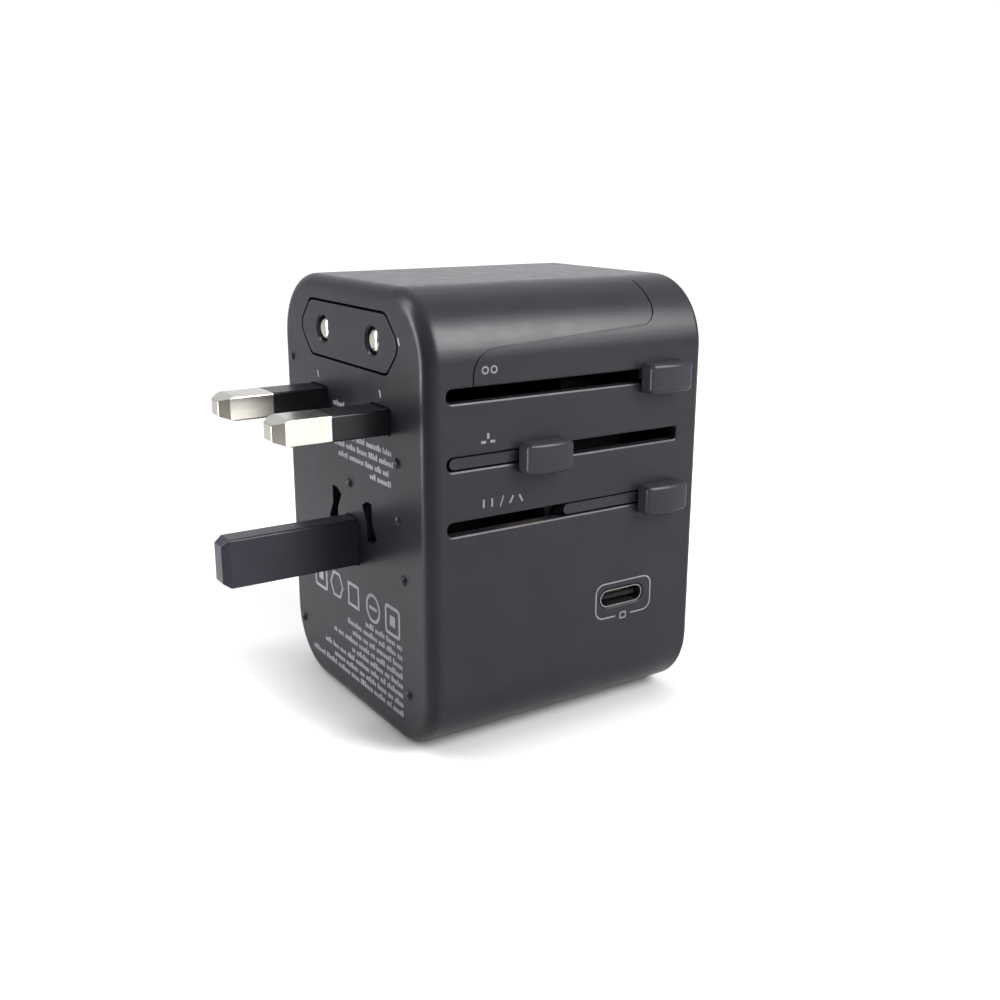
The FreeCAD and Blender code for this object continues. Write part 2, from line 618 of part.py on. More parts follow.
def uk_pin_nose(y, tip, shoulder):
    """The exposed part of a live pin: two steep bevels at its sides and two shallow ones above and below."""
    half_w = UK_PIN_WIDTH / 2
    half_h = UK_PIN_HEIGHT / 2
    side_start = tip + UK_SIDE_BEVEL
    top_start = tip + UK_TOP_BEVEL
    low_z = UK_LIVE_Z - half_h
    bar = bar_x(tip, shoulder, y - half_w, y + half_w, low_z, UK_LIVE_Z + half_h, 0.35)
    plan = [vec(tip, y - UK_TIP_HALF_WIDTH, low_z), vec(side_start, y - half_w, low_z),
            vec(shoulder, y - half_w, low_z), vec(shoulder, y + half_w, low_z),
            vec(side_start, y + half_w, low_z), vec(tip, y + UK_TIP_HALF_WIDTH, low_z)]
    profile = [vec(tip, y - half_w, UK_LIVE_Z - UK_TIP_HALF_HEIGHT), vec(top_start, y - half_w, low_z),
               vec(shoulder, y - half_w, low_z), vec(shoulder, y - half_w, UK_LIVE_Z + half_h),
               vec(top_start, y - half_w, UK_LIVE_Z + half_h),
               vec(tip, y - half_w, UK_LIVE_Z + UK_TIP_HALF_HEIGHT)]
    sides = Part.Face(Part.makePolygon(plan + plan[:1])).extrude(vec(0, 0, UK_PIN_HEIGHT))
    faces = Part.Face(Part.makePolygon(profile + profile[:1])).extrude(vec(0, UK_PIN_WIDTH, 0))
    nose = bar.common(sides).common(faces)
    return nose.makeFillet(UK_TIP_FILLET, edges_at_x(nose, tip))


def uk_live_pin(side):
    """A nickel-plated pin: full section at the tip, slimmer where its sleeve fits."""
    y = side * UK_PIN_Y
    shoulder = PLUG_X - UK_SLEEVE_LENGTH
    nose = uk_pin_nose(y, PLUG_X - UK_PIN_LENGTH, shoulder)
    slim_w = UK_PIN_WIDTH / 2 - UK_SLEEVE_WALL
    slim_h = UK_PIN_HEIGHT / 2 - UK_SLEEVE_WALL
    slim = bar_x(shoulder, at(CARRIER_FRONT), y - slim_w, y + slim_w,
                 UK_LIVE_Z - slim_h, UK_LIVE_Z + slim_h, 0.3)
    return join(nose, slim, uk_pin_root(side, 0.0))


def uk_sleeve(side):
    """The insulating sleeve round the half of a live pin next to the casing."""
    y = side * UK_PIN_Y
    half_w = UK_PIN_WIDTH / 2
    half_h = UK_PIN_HEIGHT / 2
    x0 = PLUG_X - UK_SLEEVE_LENGTH
    x1 = at(CARRIER_FRONT)
    outside = bar_x(x0, x1, y - half_w, y + half_w, UK_LIVE_Z - half_h, UK_LIVE_Z + half_h, 0.35)
    inside = bar_x(x0 - 1, x1 + 1, y - half_w + UK_SLEEVE_WALL, y + half_w - UK_SLEEVE_WALL,
                   UK_LIVE_Z - half_h + UK_SLEEVE_WALL, UK_LIVE_Z + half_h - UK_SLEEVE_WALL, 0.3)
    return outside.cut(inside)


def uk_earth_tenon():
    earth_z = UK_LIVE_Z - UK_EARTH_PITCH
    return box(at(CARRIER_FRONT), at(CARRIER_FRONT + CARRIER_THICKNESS), -1.3, 1.3,
               earth_z - 2.8, earth_z + 2.8)


def uk_earth_pin():
    """The long moulded earth pin, with a bevelled tip and a tenon into its carrier."""
    earth_z = UK_LIVE_Z - UK_EARTH_PITCH
    tip = PLUG_X - UK_EARTH_LENGTH
    bevel = 1.3
    side_inset = 0.4
    top_inset = 0.95
    half_w = UK_EARTH_WIDTH / 2
    half_h = UK_EARTH_HEIGHT / 2
    wires = [outline_x(tip, -half_w + side_inset, half_w - side_inset,
                       earth_z - half_h + top_inset, earth_z + half_h - top_inset, 0.3),
             outline_x(tip + bevel, -half_w, half_w, earth_z - half_h, earth_z + half_h, 0.4)]
    nose = Part.makeLoft(wires, True)
    nose = nose.makeFillet(0.25, edges_at_x(nose, tip))
    body = bar_x(tip + bevel, at(CARRIER_FRONT), -half_w, half_w, earth_z - half_h, earth_z + half_h, 0.4)
    return join(nose, body, uk_earth_tenon())


def uk_carrier_cap():
    """The flat plate behind the carrier that keeps the pins in."""
    x0 = at(CARRIER_FRONT + CARRIER_THICKNESS)
    x1 = x0 + UK_CAP_THICKNESS
    bar = box(x0, x1, -UK_BAR_HALF, UK_BAR_HALF, UK_LIVE_Z - 3.0, UK_LIVE_Z + 3.0)
    stem = box(x0, x1, -2.3, 2.3, UK_LIVE_Z - UK_EARTH_PITCH - 4.3, UK_LIVE_Z - 2.0)
    cap = join(bar, stem)
    for side in (1, -1):
        cap = cap.cut(rod_x(x0 - 1, x1 + 1, side * UK_PIN_Y, UK_LIVE_Z, 1.0))
    return cap


def uk_contacts():
    """Two brass wipers from the pins' feet to the busbars."""
    x0 = at(CARRIER_FRONT + CARRIER_THICKNESS + UK_CAP_THICKNESS)
    x1 = x0 + CONTACT_SHEET
    pieces = []
    for side in (1, -1):
        rivet = rod_x(x0 - UK_CAP_THICKNESS, x1, side * UK_PIN_Y, UK_LIVE_Z, 1.0)
        strip = side_box(side, x0, x1, UK_PIN_Y - 1.4, UK_PIN_Y + 1.4, UK_LIVE_Z - 6.6, UK_LIVE_Z + 1.6)
        foot = side_box(side, x0, x1, UK_PIN_Y - 1.4, BUSBAR_Y + 1.0,
                        BUSBAR_HIGH_Z + 0.15, BUSBAR_HIGH_Z + 1.6)
        pieces.append(join(rivet, strip, foot))
    return Part.makeCompound(pieces)


def us_front():
    return CARRIER_FRONT + US_TRAVEL


def us_outline(x0, x1):
    bar = box(x0, x1, -US_LEG_OUTER, US_LEG_OUTER, US_BOTTOM_Z, US_CROSSBAR_TOP_Z)
    legs = [side_box(side, x0, x1, US_LEG_INNER, US_LEG_OUTER, US_BOTTOM_Z, US_LEG_TOP_Z) for side in (1, -1)]
    return join(bar, *legs)


def us_carrier():
    """The U-shaped carrier of the flat-blade plug, with its slider arm."""
    x0 = at(us_front())
    x1 = x0 + CARRIER_THICKNESS
    lug = box(x0, x1, ARM_INNER_Y - LUG_OVERLAP, -US_LEG_OUTER + 1, US_SLOT_Z - ARM_HALF_HEIGHT, US_LEG_TOP_Z)
    arm = slider_arm(us_front(), US_KNOB_START + KNOB_LENGTH - 0.7, US_SLOT_Z)
    carrier = join(us_outline(x0, x1), lug, arm)
    for side in (1, -1):
        carrier = carrier.cut(rod_x(x0 - 1, x1 + 1, side * BLADE_Y, BLADE_Z, HUB_RADIUS + FIT))
    return carrier.cut(knob_stem(US_KNOB_START, US_SLOT_Z, 1.0))


def us_carrier_cap():
    """The plate behind the carrier that keeps the blade hubs in."""
    x0 = at(us_front() + CARRIER_THICKNESS)
    x1 = x0 + US_CAP_THICKNESS
    cap = us_outline(x0, x1)
    for side in (1, -1):
        cap = cap.cut(rod_x(x0 - 1, x0 + 0.95, side * BLADE_Y, BLADE_Z, HUB_FLANGE_RADIUS + FIT))
        cap = cap.cut(rod_x(x0 - 1, x1 + 1, side * BLADE_Y, BLADE_Z, 1.0))
    return cap


def blade_tang(side, x0, x1):
    y = side * BLADE_Y
    return box(x0, x1, y - BLADE_THICKNESS / 2, y + BLADE_THICKNESS / 2, BLADE_Z - 2.1, BLADE_Z + 2.1)


def hub_ends():
    carrier_back = at(us_front() + CARRIER_THICKNESS)
    return at(us_front()) - 0.3, carrier_back + 0.1, carrier_back + 0.8


def us_hub(side):
    """The moulded hub that lets one blade turn in the carrier."""
    front, flange, back = hub_ends()
    hub = rod_x(front, flange, side * BLADE_Y, BLADE_Z, HUB_RADIUS)
    hub = hub.fuse(rod_x(flange, back, side * BLADE_Y, BLADE_Z, HUB_FLANGE_RADIUS))
    return hub.removeSplitter().cut(blade_tang(side, front - 1, back + 1))


def us_blade(side):
    """A flat nickel-plated blade with a bevelled tip and a tang through its hub."""
    front, _, back = hub_ends()
    tip = PLUG_X - BLADE_LENGTH + US_TRAVEL
    bevel = 1.2
    y = side * BLADE_Y
    half_t = BLADE_THICKNESS / 2
    half_w = BLADE_WIDTH / 2
    wires = [outline_x(tip, y - half_t + 0.45, y + half_t - 0.45, BLADE_Z - half_w + 0.9,
                       BLADE_Z + half_w - 0.9, 0.12),
             outline_x(tip + bevel, y - half_t, y + half_t, BLADE_Z - half_w, BLADE_Z + half_w, 0.15)]
    body = bar_x(tip + bevel, front, y - half_t, y + half_t, BLADE_Z - half_w, BLADE_Z + half_w, 0.15)
    return join(Part.makeLoft(wires, True), body, blade_tang(side, front, back))


def us_contacts():
    """Two brass wipers behind the cap, from the blades to the busbars."""
    x0 = at(us_front() + CARRIER_THICKNESS + US_CAP_THICKNESS)
    x1 = x0 + CONTACT_SHEET
    low_z = BUSBAR_LOW_Z - 1.3
    pieces = []
    for side in (1, -1):
        strip = side_box(side, x0, x1, BLADE_Y - 1.3, BLADE_Y + 1.3, BLADE_Z - 1.5, BUSBAR_LOW_Z - 0.15)
        foot = side_box(side, x0, x1, BLADE_Y - 1.3, BUSBAR_Y + 1.0, low_z, BUSBAR_LOW_Z - 0.15)
        pieces.append(join(strip, foot))
    return Part.makeCompound(pieces)


def eu_neck():
    """The sliding block of the round-pin plug, bored for its two pins, with a stop flange inside."""
    neck = neck_prism(PLUG_X, at(NECK_LENGTH), 0.0)
    flange = neck_prism(at(NECK_LENGTH - 1.5), at(NECK_LENGTH), 0.75)
    neck = join(neck, flange)
    for side in (1, -1):
        bore = rod_x(PLUG_X - 1, at(NECK_LENGTH) + 1, side * EU_PIN_Y, EU_Z, EU_BORE_RADIUS)
        mouth = Part.makeCone(EU_BORE_RADIUS + EU_MOUTH, EU_BORE_RADIUS, EU_MOUTH,
                              vec(PLUG_X, side * EU_PIN_Y, EU_Z), vec(1, 0, 0))
        neck = neck.cut(bore).cut(mouth)
    return neck


def eu_pin(side):
    """A round nickel-plated pin with a domed tip."""
    tip = at(EU_PIN_RECESS)
    shank = rod_x(tip, at(EU_PLATE_DEPTH + EU_PLATE_THICKNESS), side * EU_PIN_Y, EU_Z, EU_PIN_RADIUS)
    return shank.makeFillet(EU_PIN_DOME, edges_at_x(shank, tip))


def eu_pin_plate():
    """The plate that carries both round pins, with the lug that its knob drives."""
    x0 = at(EU_PLATE_DEPTH)
    x1 = x0 + EU_PLATE_THICKNESS
    plate = neck_prism(x0, x1, 0.2)
    shoulder_z = SHELF_Z + SHELF_THICKNESS + 1.0
    lug = box(x0, x1, SLIDER_Y + WALL + ARM_GAP, -NECK_FLAT_HALF - 0.6, shoulder_z, EU_Z - 1.6)
    drop = box(x0, x1, SLIDER_Y + WALL + ARM_GAP, -BLOCK_HALF_WIDTH - 0.7,
               EU_SLOT_Z - ARM_HALF_HEIGHT, shoulder_z)
    arm = box(x0, at(EU_KNOB_START + KNOB_LENGTH - 1.0), SLIDER_Y + WALL + ARM_GAP, ARM_INNER_Y,
              EU_SLOT_Z - ARM_HALF_HEIGHT, EU_SLOT_Z + ARM_HALF_HEIGHT)
    plate = join(plate, lug, drop, arm)
    for side in (1, -1):
        y = side * EU_PIN_Y
        plate = plate.cut(rod_x(x0 - 1, x1 + 1, y, EU_Z, EU_PIN_RADIUS))
        plate = plate.cut(box(x0 - 1, x1 + 1, y - 1.6, y + 1.6, EU_Z - 6, EU_Z - 1.9))
    return plate.cut(knob_stem(EU_KNOB_START, EU_SLOT_Z, 1.0))


def eu_contacts():
    """Two fixed brass springs that rise through the shelf to wipe the round pins from below."""
    x0 = at(22.0)
    top = EU_Z - EU_PIN_RADIUS - 0.12
    pieces = []
    for side in (1, -1):
        y = side * EU_PIN_Y
        foot = box(x0, x0 + 2.0, y - 1.2, y + 1.2, SHELF_Z - 0.5, SHELF_Z + SHELF_THICKNESS + 0.4)
        riser = box(x0, x0 + CONTACT_SHEET, y - 1.2, y + 1.2, SHELF_Z + SHELF_THICKNESS, top)
        pad = box(x0, x0 + 3.4, y - 1.2, y + 1.2, top - CONTACT_SHEET, top)
        pieces.append(join(foot, riser, pad))
    return Part.makeCompound(pieces)


def usb_shell():
    """The drawn steel shell of the charging port, open to the slider face."""
    x = at(USB_DEPTH)
    y0 = SLIDER_Y + 0.15
    y1 = y0 + USB_LENGTH
    half_w = USB_WIDTH / 2
    half_h = USB_HEIGHT / 2
    outside = bar_y(y0, y1, x - half_w - USB_SHELL, x + half_w + USB_SHELL, USB_Z - half_h - USB_SHELL,
                    USB_Z + half_h + USB_SHELL, [half_h + USB_SHELL - 0.01])
    inside = bar_y(y0 - 1, y1 - 0.9, x - half_w, x + half_w, USB_Z - half_h, USB_Z + half_h, [half_h - 0.01])
    return outside.cut(inside)


def usb_tongue():
    """The moulded tongue in the charging port, on a base that fills the back of the shell."""
    x = at(USB_DEPTH)
    y0 = SLIDER_Y + 0.95
    base_end = SLIDER_Y + 0.15 + USB_LENGTH - 0.9
    half_w = USB_WIDTH / 2
    half_h = USB_HEIGHT / 2
    base = bar_y(base_end - 1.2, base_end, x - half_w, x + half_w, USB_Z - half_h, USB_Z + half_h,
                 [half_h - 0.01])
    tongue = bar_y(y0, base_end - 1.1, x - 3.35, x + 3.35, USB_Z - 0.35, USB_Z + 0.35, [0.2])
    return join(base, tongue)


def usb_pads():
    """The row of gold contacts on each side of the tongue."""
    y0 = SLIDER_Y + 1.6
    pads = []
    for index in range(12):
        x = at(USB_DEPTH) + (index - 5.5) * 0.5
        for low, high in ((0.35, 0.40), (-0.40, -0.35)):
            pads.append(box(x - 0.13, x + 0.13, y0, y0 + 3.0, USB_Z + low, USB_Z + high))
    return Part.makeCompound(pads)


def charger_pcb():
    board = bar_z(at(PCB_START), at(PCB_END), -PCB_HALF_WIDTH, PCB_HALF_WIDTH, PCB_LOW_Z, PCB_THICKNESS, 2.0)
    for depth in POST_DEPTHS:
        for side in (1, -1):
            board = board.cut(rod_z(at(depth), side * POST_Y, PCB_LOW_Z - 1, PCB_LOW_Z + 3, 1.0))
    return board


def bar_z(x0, x1, y0, y1, z0, height, radius):
    points = [vec(x0, y0, z0), vec(x1, y0, z0), vec(x1, y1, z0), vec(x0, y1, z0)]
    return Part.Face(rounded_path(points, [radius], closed=True)).extrude(vec(0, 0, height))


def transformer_core():
    """The ferrite frame of the charger's transformer, under the board."""
    x0 = at(TRANSFORMER_DEPTH)
    core = box(x0, x0 + 15.0, -7.0, 7.0, 4.6, 16.6)
    for side in (1, -1):
        core = core.cut(side_box(side, x0 + 3.0, x0 + 12.0, 2.5, 5.4, 3.6, 17.6))
    return core


def transformer_winding():
    """The taped winding on the core's middle leg."""
    x0 = at(TRANSFORMER_DEPTH) + 3.1
    x1 = x0 + 8.8
    outer = box(x0, x1, -5.3, 5.3, 3.4, PCB_LOW_Z - 0.1)
    return outer.cut(box(x0 - 1, x1 + 1, -2.6, 2.6, 4.5, 16.7))


def capacitors():
    """The two smoothing capacitors that lie under the board."""
    cans = []
    for y, depth, length, radius in ((13.4, 12.0, 16.0, 4.0), (-13.4, 12.0, 12.0, 3.2)):
        can = rod_x(at(depth), at(depth + length), y, PCB_LOW_Z - 0.3 - radius, radius)
        cans.append(can.makeFillet(0.5, edges_at_x(can, at(depth)) + edges_at_x(can, at(depth + length))))
    return Part.makeCompound(cans)


def board_chips():
    """The controller, rectifier and power switch under the board."""
    chips = [box(at(34), at(39), -9, -4, PCB_LOW_Z - 1.5, PCB_LOW_Z),
             box(at(33), at(38.5), 4, 10, PCB_LOW_Z - 2.2, PCB_LOW_Z),
             box(at(6.0), at(9.0), -4, 3, PCB_LOW_Z - 1.8, PCB_LOW_Z)]
    return Part.makeCompound(chips)


def board_screws():
    """The screws that hold the board to the casing's posts."""
    head_z = PCB_LOW_Z + PCB_THICKNESS
    return Part.makeCompound([screw_z(at(depth), side * POST_Y, head_z + 0.9, 11.0, 0.78, 1.7, 0.9)
                              for depth in POST_DEPTHS for side in (1, -1)])


def block_screws():
    """The screws that hold the contact block to the inner frame."""
    return Part.makeCompound([screw_x(at(42.3), at(BULKHEAD_DEPTH), y, z, 0.78, 1.65, 1.0)
                              for y, z in block_screw_places()])


def fuse_tube():
    return rod_x(at(FUSE_START + 0.3), at(FUSE_START + FUSE_LENGTH - 0.3), FUSE_Y, FUSE_Z, FUSE_RADIUS - 0.15)


def fuse_caps():
    """The plated end caps of the fuse."""
    caps = []
    for start in (FUSE_START, FUSE_START + FUSE_LENGTH - FUSE_CAP_LENGTH):
        cap = rod_x(at(start), at(start + FUSE_CAP_LENGTH), FUSE_Y, FUSE_Z, FUSE_RADIUS)
        caps.append(cap.cut(fuse_tube()))
    return Part.makeCompound(caps)


def fuse_clips():
    """The two sprung clips that hold the fuse above the board."""
    board_top = PCB_LOW_Z + PCB_THICKNESS
    clips = []
    for start in (FUSE_START + 0.8, FUSE_START + FUSE_LENGTH - FUSE_CAP_LENGTH + 0.8):
        x0 = at(start)
        x1 = x0 + 3.2
        block = box(x0, x1, FUSE_Y - 3.0, FUSE_Y + 3.0, board_top, FUSE_Z + 1.6)
        bore = rod_x(x0 - 1, x1 + 1, FUSE_Y, FUSE_Z, FUSE_RADIUS)
        mouth = box(x0 - 1, x1 + 1, FUSE_Y - 1.9, FUSE_Y + 1.9, FUSE_Z, FUSE_Z + 4)
        clips.append(block.cut(bore).cut(mouth))
    return Part.makeCompound(clips)


def supply_wires():
    """The two insulated wires from the busbars down to the board."""
    board_top = PCB_LOW_Z + PCB_THICKNESS
    return Part.makeCompound([rod_z(at(28.6), side * BUSBAR_Y, board_top, BUSBAR_LOW_Z, 0.6)
                              for side in (1, -1)])


def shutter_springs():
    return Part.makeCompound([coil_spring(at(SPRING_DEPTH), side * SPRING_Y, SPRING_SEAT_Z, SHUTTER_BOTTOM_Z)
                              for side in (1, -1)])


def nodes():
    parts = {
        "main_housing": main_housing(),
        "socket_cover": socket_cover(),
        "socket_shutter": socket_shutter(),
        "shutter_springs": shutter_springs(),
        "contact_block": contact_block(),
        "slider_frame": slider_frame(),
        "eu_neck": eu_neck(),
        "eu_pin_plate": eu_pin_plate(),
        "eu_contacts": eu_contacts(),
        "uk_carrier": uk_carrier(),
        "uk_carrier_cap": uk_carrier_cap(),
        "uk_earth_pin": uk_earth_pin(),
        "uk_contacts": uk_contacts(),
        "us_carrier": us_carrier(),
        "us_carrier_cap": us_carrier_cap(),
        "us_contacts": us_contacts(),
        "usb_shell": usb_shell(),
        "usb_tongue": usb_tongue(),
        "usb_pads": usb_pads(),
        "charger_board": charger_pcb(),
        "board_screws": board_screws(),
        "block_screws": block_screws(),
        "board_chips": board_chips(),
        "transformer_core": transformer_core(),
        "transformer_winding": transformer_winding(),
        "capacitors": capacitors(),
        "fuse_tube": fuse_tube(),
        "fuse_caps": fuse_caps(),
        "fuse_clips": fuse_clips(),
        "supply_wires": supply_wires(),
        "eu_knob": knob(EU_KNOB_START, EU_SLOT_Z),
        "uk_knob": knob(UK_KNOB_START, UK_SLOT_Z),
        "us_knob": knob(US_KNOB_START, US_SLOT_Z),
        "eu_detent": detent_leaf(EU_PLATE_DEPTH + EU_PLATE_THICKNESS + 0.1, 4.4, EU_SLOT_Z),
        "uk_detent": detent_leaf(UK_KNOB_START, 8.0, UK_SLOT_Z),
        "us_detent": detent_leaf(US_KNOB_START - 1.5, 8.0, US_SLOT_Z),
    }
    for side, pole in ((-1, "line"), (1, "neutral")):
        parts[pole + "_contact"] = socket_contact(side)
        parts[pole + "_busbar"] = busbar(side)
        parts["uk_" + pole + "_pin"] = uk_live_pin(side)
        parts["uk_" + pole + "_sleeve"] = uk_sleeve(side)
        parts["eu_" + pole + "_pin"] = eu_pin(side)
        parts["us_" + pole + "_blade"] = us_blade(side)
        parts["us_" + pole + "_hub"] = us_hub(side)
    return parts


os.makedirs("parts", exist_ok=True)
for name, shape in nodes().items():
    print(name, shape.isValid(), len(shape.Solids), round(shape.Volume, 1))
    shape.exportStep(os.path.join("parts", name + ".step"))
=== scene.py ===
import json
import math
import random

import bmesh
import bpy
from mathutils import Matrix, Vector


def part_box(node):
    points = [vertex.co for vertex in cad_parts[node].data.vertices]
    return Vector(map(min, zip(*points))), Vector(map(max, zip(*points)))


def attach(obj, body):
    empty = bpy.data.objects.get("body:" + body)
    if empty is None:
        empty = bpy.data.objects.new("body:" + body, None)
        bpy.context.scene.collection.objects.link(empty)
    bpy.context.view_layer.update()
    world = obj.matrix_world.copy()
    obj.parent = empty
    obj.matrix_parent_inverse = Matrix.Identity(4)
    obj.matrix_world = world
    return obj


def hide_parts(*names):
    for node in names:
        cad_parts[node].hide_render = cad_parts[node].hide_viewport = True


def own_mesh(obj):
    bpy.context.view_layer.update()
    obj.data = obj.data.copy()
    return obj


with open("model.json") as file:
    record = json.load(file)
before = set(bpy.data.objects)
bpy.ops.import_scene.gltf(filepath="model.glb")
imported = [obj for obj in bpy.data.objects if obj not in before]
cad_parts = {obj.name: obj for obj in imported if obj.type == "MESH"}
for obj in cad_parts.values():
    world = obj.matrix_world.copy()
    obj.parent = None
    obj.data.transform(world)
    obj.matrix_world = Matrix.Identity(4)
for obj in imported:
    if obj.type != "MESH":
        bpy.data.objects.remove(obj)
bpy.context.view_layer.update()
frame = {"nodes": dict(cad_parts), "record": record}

MM = 0.001
PLUG_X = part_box("eu_neck")[0].x
SLIDER_Y = -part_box("main_housing")[1].y

# Ink stands this far above its face and reaches this far below it, in metres.
INK_DEPTH = 0.03 * MM
INK_SINK = 0.01 * MM

# The printed marks and one painted glint, in millimetres.
BLOCK_WIDTHS = (0.32, 0.62)
BLOCK_HEIGHTS = (0.68, 0.68, 0.72, 1.0)
BLOCK_CORNER = 0.09
BLOCK_GAP = 0.17
WORD_GAP = 0.5
RATING_START = -16.6
RATING_LOWEST = 4.6
RATING_PITCH = 1.62
RATING_HEIGHT = 1.05
CAUTION_HEIGHT = 1.0
SYMBOL_V = 20.0
SYMBOL_HALF = 2.55
SYMBOL_LINE = 0.56
STROKE_HALF_WIDTH = 0.22
STROKE_HALF_HEIGHT = 0.6
PORT_FROM_PLUG_FACE = 36.85
PORT_HALF_WIDTH = 5.85
PORT_CORNER = 1.7
PORT_LOW = 17.45
PORT_HIGH = 23.7
PORT_HALF_GAP = 1.6
PORT_LINE = 0.24
PORT_MARK_HALF = 0.7
PORT_MARK_LOW = 16.85
PORT_MARK_HIGH = 18.1

# The shutter springs of the CAD model, in millimetres.
SPRING_X = 20.5
SPRING_Y = 10.0
SPRING_LOW = 24.0
SPRING_HIGH = 46.1
SPRING_RADIUS = 1.6
SPRING_WIRE = 0.22
SPRING_TURNS = 9
SPRING_STEPS_PER_TURN = 28
SPRING_WIRE_SIDES = 10

# The stage, in metres. Floor tones are grey levels at two distances from the middle.
FLOOR_NEAR_TONE = 0.56
FLOOR_FAR_TONE = 0.93
FLOOR_NEAR = 0.3
FLOOR_FAR = 1.3
# A painted contact shadow round the casing's foot: its darkest factor, where it starts and ends,
# and how soft its corners are.
FOOT_SHADE = 0.58
FOOT_SHADE_START = 0.023
FOOT_SHADE_END = 0.038
FOOT_CORNER_SOFTNESS = 0.008
FLOOR_HALF_WIDTH = 3.0
FLOOR_FRONT = -2.0
FLOOR_BACK = 1.2
BACKDROP_RADIUS = 0.8
BACKDROP_TOP = 3.0
FLOOR_TURN = -32
FLOOR_DROP = -0.0002
FLAG_DISTANCE = 0.27
FLAG_LOW = 0.001
FLAG_HIGH = 0.12

# Lights aim at this height, and bearings start from it.
LIGHT_HEIGHT = 0.05
SKY_COLOUR = (0.95, 0.965, 1.0, 1.0)
SKY_STRENGTH = 0.75

CAMERA_PLACE = (-0.103385, -0.164199, 0.087136)
CAMERA_TARGET = (-0.000536, -0.005856, 0.034427)
CAMERA_LEAN = 0.003
CAMERA_SENSOR = 36.0
CAMERA_LENS = 40.964
CAMERA_CLIP = 0.01


# ---------------------------------------------------------------- materials

class Shader:
    """A node material whose colour, roughness and bump are built from noise."""

    def __init__(self, name):
        self.material = bpy.data.materials.new(name)
        self.material.use_nodes = True
        self.tree = self.material.node_tree
        self.surface = self.tree.nodes["Principled BSDF"]
        self.place = self.add("ShaderNodeTexCoord").outputs["Object"]

    def add(self, kind, **settings):
        node = self.tree.nodes.new(kind)
        for key, value in settings.items():
            setattr(node, key, value)
        return node

    def link(self, source, target):
        self.tree.links.new(source, target)

    def noise(self, size, detail=2.0, roughness=0.5, stretch=(1, 1, 1)):
        """Noise with features about this many metres across, in the object's own space.

        The features are longer along an axis whose stretch is below 1.
        """
        mapping = self.add("ShaderNodeMapping")
        mapping.inputs["Scale"].default_value = stretch
        self.link(self.place, mapping.inputs["Vector"])
        noise = self.add("ShaderNodeTexNoise")
        noise.inputs["Scale"].default_value = 1 / size
        noise.inputs["Detail"].default_value = detail
        noise.inputs["Roughness"].default_value = roughness
        self.link(mapping.outputs["Vector"], noise.inputs["Vector"])
        return noise.outputs["Fac"]

    def grade(self, value, low, high, start=0.3, end=0.7):
        """The value mapped from start..end to low..high."""
        node = self.add("ShaderNodeMapRange")
        node.inputs["From Min"].default_value = start
        node.inputs["From Max"].default_value = end
        node.inputs["To Min"].default_value = low
        node.inputs["To Max"].default_value = high
        self.link(value, node.inputs["Value"])
        return node.outputs["Result"]

    def blend(self, factor, dark, light):
        node = self.add("ShaderNodeMix", data_type="RGBA")
        node.inputs["A"].default_value = (*dark, 1)
        node.inputs["B"].default_value = (*light, 1)
        self.link(factor, node.inputs["Factor"])
        return node.outputs["Result"]

    def colour(self, base, spread, size):
        """A base colour that drifts lighter and darker by the spread over patches of this size."""
        dark = [c * (1 - spread) for c in base]
        light = [min(1, c * (1 + spread)) for c in base]
        factor = self.grade(self.noise(size, 3), 0, 1)
        self.link(self.blend(factor, dark, light), self.surface.inputs["Base Color"])

    def gloss(self, low, high, size, stretch=(1, 1, 1)):
        """Roughness that drifts between two values."""
        value = self.grade(self.noise(size, 4, 0.6, stretch), low, high)
        self.link(value, self.surface.inputs["Roughness"])

    def bump(self, heights, distance):
        """Bump from one or more (noise, strength) layers."""
        normal = None
        for height, strength in heights:
            node = self.add("ShaderNodeBump")
            node.inputs["Strength"].default_value = strength
            node.inputs["Distance"].default_value = distance
            self.link(height, node.inputs["Height"])
            if normal:
                self.link(normal, node.inputs["Normal"])
            normal = node.outputs["Normal"]
        self.link(normal, self.surface.inputs["Normal"])


def plastic(name, base, gloss, grain=0.22 * MM, depth=0.3, spread=0.08, specular=0.5):
    """A moulded plastic with a fine spark-eroded grain."""
    shader = Shader(name)
    shader.colour(base, spread, 9 * MM)
    shader.gloss(gloss[0], gloss[1], 3 * MM)
    shader.surface.inputs["Specular IOR Level"].default_value = specular
    fine = shader.noise(grain, 2, 0.6)
    waves = shader.noise(6 * MM, 1, 0.4)
    shader.bump([(fine, depth), (waves, depth * 0.5)], 0.012 * MM)
    return shader.material


def metal(name, base, gloss, brushed=(1, 1, 1), depth=0.25, spread=0.06):
    """A metal with fine scratches along one direction."""
    shader = Shader(name)
    shader.colour(base, spread, 4 * MM)
    shader.gloss(gloss[0], gloss[1], 0.8 * MM, brushed)
    shader.surface.inputs["Metallic"].default_value = 1.0
    scratches = shader.noise(0.12 * MM, 3, 0.7, brushed)
    dents = shader.noise(1.6 * MM, 2, 0.5)
    shader.bump([(scratches, depth), (dents, depth * 0.6)], 0.008 * MM)
    return shader.material


def painted_foot_shadow(shader):
    """A painted contact shadow: a factor that is lowest round the casing's foot and 1 further out.

    It is painted, not cast by a light. It depends on the larger of |x| and |y| on the floor.
    """
    outward = shader.add("ShaderNodeVectorMath", operation="ABSOLUTE")
    shader.link(shader.add("ShaderNodeNewGeometry").outputs["Position"], outward.inputs[0])
    axes = shader.add("ShaderNodeSeparateXYZ")
    shader.link(outward.outputs["Vector"], axes.inputs[0])
    reach = shader.add("ShaderNodeMath", operation="SMOOTH_MAX")
    reach.inputs[2].default_value = FOOT_CORNER_SOFTNESS
    shader.link(axes.outputs["X"], reach.inputs[0])
    shader.link(axes.outputs["Y"], reach.inputs[1])
    return shader.grade(reach.outputs["Value"], FOOT_SHADE, 1.0, FOOT_SHADE_START, FOOT_SHADE_END)


